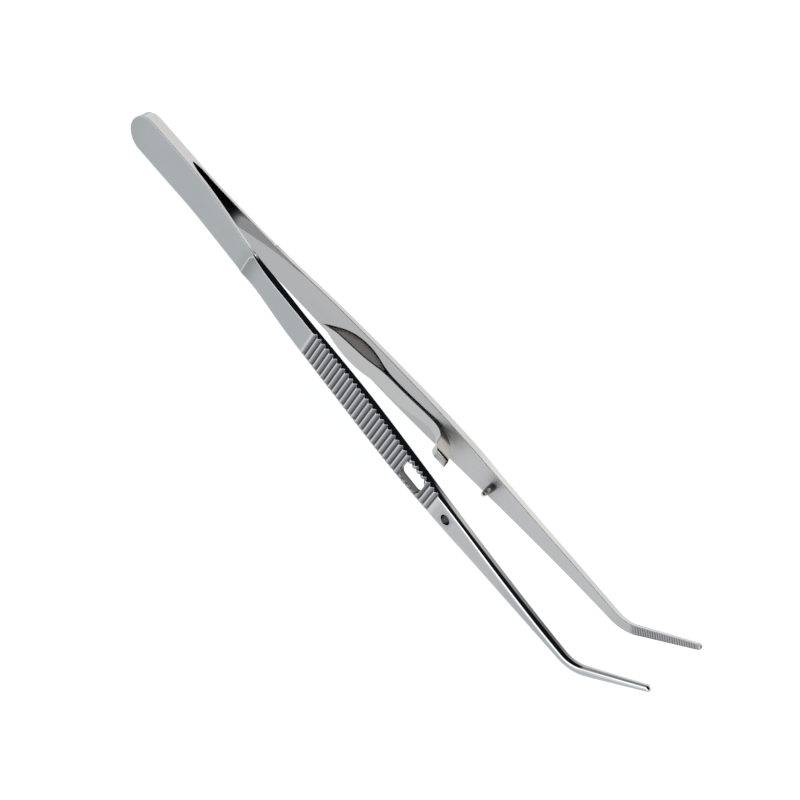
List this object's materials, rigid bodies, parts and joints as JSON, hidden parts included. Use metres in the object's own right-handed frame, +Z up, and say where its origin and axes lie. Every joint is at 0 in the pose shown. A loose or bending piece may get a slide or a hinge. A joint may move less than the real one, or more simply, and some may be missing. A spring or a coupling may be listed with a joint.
{
  "type": "locking aquascaping tweezers",
  "caption": "Polished steel locking tweezers with angled serrated tips, ridged grips, a guide pin and a spring catch that hooks through a window in the opposite arm.",
  "frame": {"origin": "middle of the tool's length and of its spread at rest, at the height of its lowest edge as it lies on its side edges", "axes": "+X from the welded heel to the tips, +Y from the slotted arm to the pin arm, +Z up, the way the tips bend"},
  "size_m": [0.1604, 0.0196, 0.0186],
  "materials": {
    "polished_steel": "mirror-polished stainless steel",
    "spring_steel": "polished spring steel, satin on its cut edges",
    "pin_steel": "turned and polished steel",
    "weld_steel": "weld seam ground and polished flush"
  },
  "bodies": {
    "heel": {"slot_arm_heel": "polished_steel", "pin_arm_heel": "polished_steel", "end_weld": "weld_steel"},
    "slot_blade": {"slot_arm": "polished_steel"},
    "pin_blade": {"pin_arm": "polished_steel", "guide_pin": "pin_steel", "lock_spring_bow": "spring_steel"},
    "lock_catch": {"lock_catch": "spring_steel"}
  },
  "joints": [
    {"name": "slot_arm_flex", "type": "hinge", "parent": "heel", "child": "slot_blade", "pos_m": [-0.0522, -0.00163, 0.0045], "axis": [0, 0, 1], "range_deg": [0, 3.5], "stiffness_Nm_per_rad": 2.8},
    {"name": "pin_arm_flex", "type": "hinge", "parent": "heel", "child": "pin_blade", "pos_m": [-0.0522, 0.00163, 0.0045], "axis": [0, 0, -1], "range_deg": [0, 3.5], "stiffness_Nm_per_rad": 2.8},
    {"name": "catch_slide", "type": "slide", "parent": "pin_blade", "child": "lock_catch", "axis": [0.9984, 0.0565, 0], "range_m": [0, 0.0008], "stiffness_N_per_m": 3000}
  ],
  "couplings": [
    {"joint": "pin_arm_flex", "follows": "slot_arm_flex", "ratio": 1}
  ]
}
